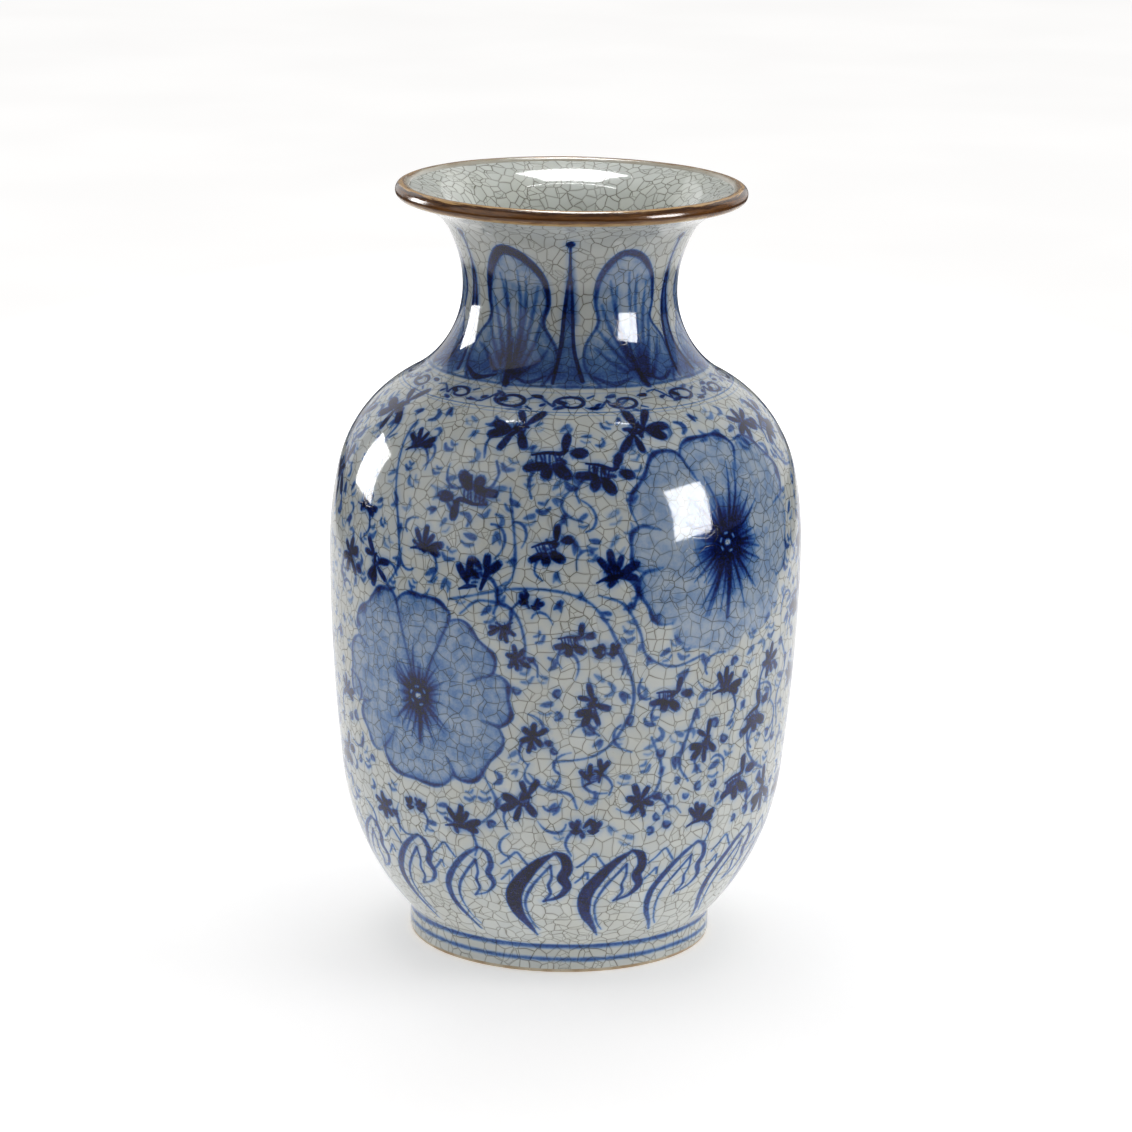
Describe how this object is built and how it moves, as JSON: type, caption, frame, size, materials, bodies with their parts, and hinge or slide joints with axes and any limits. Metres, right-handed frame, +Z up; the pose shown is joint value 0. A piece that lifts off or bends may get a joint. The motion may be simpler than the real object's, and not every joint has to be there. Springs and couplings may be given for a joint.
{
  "type": "porcelain vase",
  "caption": "Baluster vase in crackle-glazed porcelain with a narrow neck, a wide flared mouth with a rolled brown lip, and a turned foot.",
  "frame": {"origin": "centre of the foot's resting plane, on the vase's axis", "axes": "+Z up along the vase's axis, towards the mouth; X and Y lie in the resting plane, and every solid is turned about Z"},
  "size_m": [0.1882, 0.1882, 0.305],
  "materials": {
    "porcelain_body": "unglazed fired porcelain, fine and matt, lightly browned where it meets the glaze",
    "slip": "fired joining slip, matt",
    "painted_glaze": "pale grey-green glaze with a fine brown crackle over cobalt-blue painting, clear and glossy",
    "interior_glaze": "pale grey-green glaze with a wider crackle, glossy",
    "lip_glaze": "iron-brown glaze, glossy, thinner and tan at its edges"
  },
  "bodies": {
    "root": {"foot_ring": "porcelain_body", "foot_slip": "slip", "base_floor": "porcelain_body", "base_slip": "slip", "lower_body": "porcelain_body", "belly_slip": "slip", "upper_body": "porcelain_body", "neck_slip": "slip", "neck": "porcelain_body", "lip_slip": "slip", "lip_coil": "porcelain_body", "outer_glaze": "painted_glaze", "inner_glaze": "interior_glaze", "recess_glaze": "interior_glaze", "lip_glaze": "lip_glaze"}
  },
  "joints": []
}
